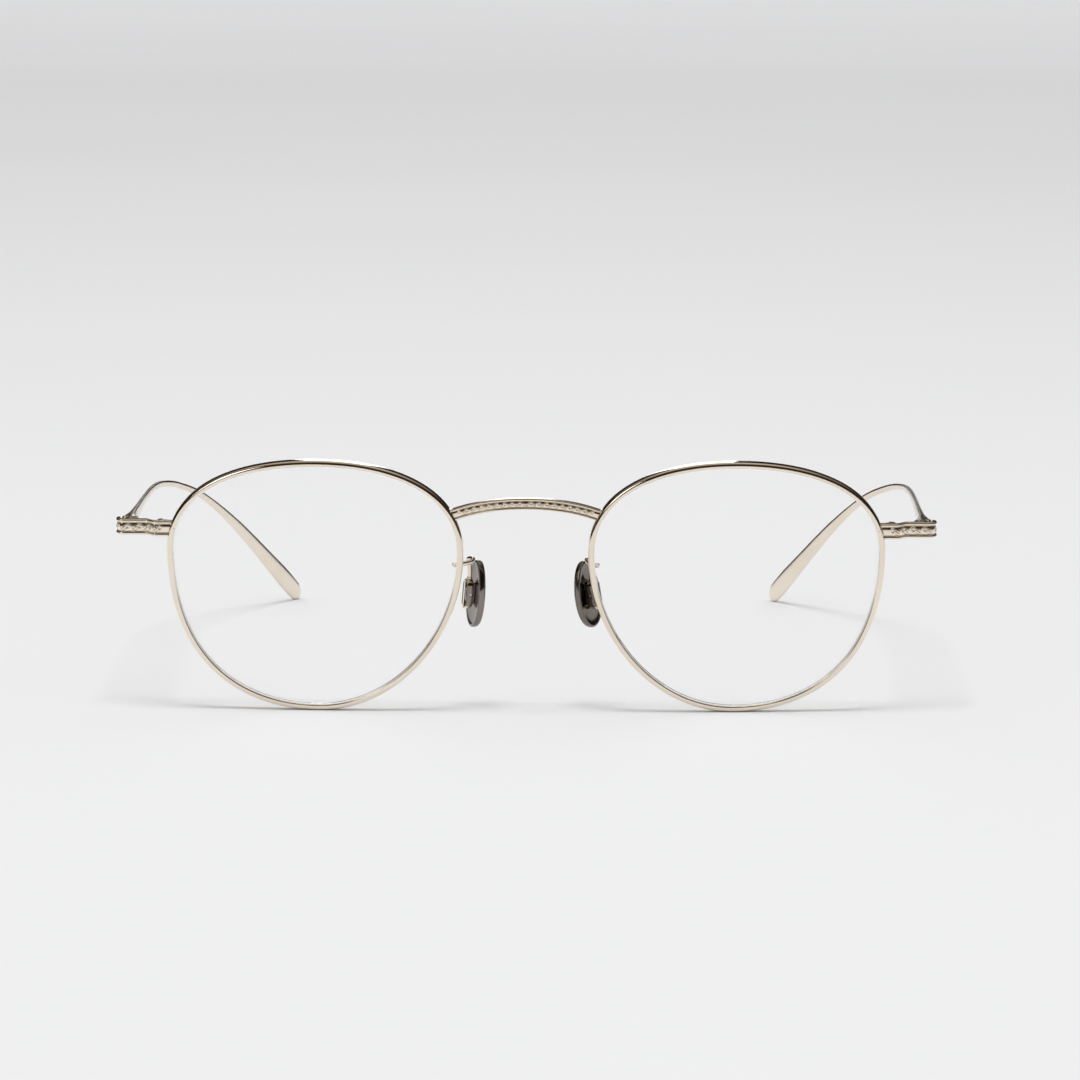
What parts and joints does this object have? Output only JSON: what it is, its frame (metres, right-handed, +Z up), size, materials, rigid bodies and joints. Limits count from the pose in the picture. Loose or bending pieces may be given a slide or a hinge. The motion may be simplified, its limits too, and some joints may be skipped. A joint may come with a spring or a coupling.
{
  "type": "eyeglasses frame",
  "caption": "Full-rim metal eyeglasses frame with rounded lenses, an arched twin-rail bridge, folding wire temples with paddle tips and rocking nose pads on wire arms.",
  "frame": {"origin": "middle of the bounding box, on the surface that the frame stands on", "axes": "+Z up, front facing -Y, temples running to +Y, +X to the wearer's left"},
  "size_m": [0.1386, 0.1372, 0.0431],
  "materials": {
    "gold": "polished champagne-gold plating on titanium",
    "pad": "polished dark titanium",
    "steel": "turned steel",
    "lens": "clear demo lens, polished",
    "nylon": "natural nylon"
  },
  "bodies": {
    "front": {"bridge": "gold", "closing_block_lower_left": "gold", "closing_block_lower_right": "gold", "closing_block_upper_left": "gold", "closing_block_upper_right": "gold", "closing_screw_left": "steel", "closing_screw_right": "steel", "endpiece_left": "gold", "endpiece_right": "gold", "hinge_front_leaf_left": "gold", "hinge_front_leaf_right": "gold", "hinge_screw_left": "steel", "hinge_screw_right": "steel", "hinge_washer_lower_left": "nylon", "hinge_washer_lower_right": "nylon", "hinge_washer_upper_left": "nylon", "hinge_washer_upper_right": "nylon", "lens_left": "lens", "lens_right": "lens", "pad_arm_left": "gold", "pad_arm_right": "gold", "pad_box_left": "gold", "pad_box_right": "gold", "pad_screw_left": "steel", "pad_screw_right": "steel", "rim_left": "gold", "rim_right": "gold"},
    "temple_left": {"hinge_temple_leaf_left": "gold", "temple_left": "gold"},
    "temple_right": {"hinge_temple_leaf_right": "gold", "temple_right": "gold"},
    "pad_left": {"nose_pad_left": "pad"},
    "pad_right": {"nose_pad_right": "pad"}
  },
  "joints": [
    {"name": "temple_fold_left", "type": "hinge", "parent": "front", "child": "temple_left", "pos_m": [0.06665, -0.06139, 0.0313], "axis": [0, 0, 1], "range_deg": [0, 81]},
    {"name": "temple_fold_right", "type": "hinge", "parent": "front", "child": "temple_right", "pos_m": [-0.06665, -0.06139, 0.0313], "axis": [0, 0, -1], "range_deg": [0, 74]},
    {"name": "pad_rock_left", "type": "hinge", "parent": "front", "child": "pad_left", "pos_m": [0.0115, -0.06098, 0.01965], "axis": [0.5523, 0.8183, 0.1594], "range_deg": [-5, 5]},
    {"name": "pad_rock_right", "type": "hinge", "parent": "front", "child": "pad_right", "pos_m": [-0.00976, -0.06071, 0.01961], "axis": [-0.357, 0.9273, 0.1125], "range_deg": [-5, 5]}
  ]
}
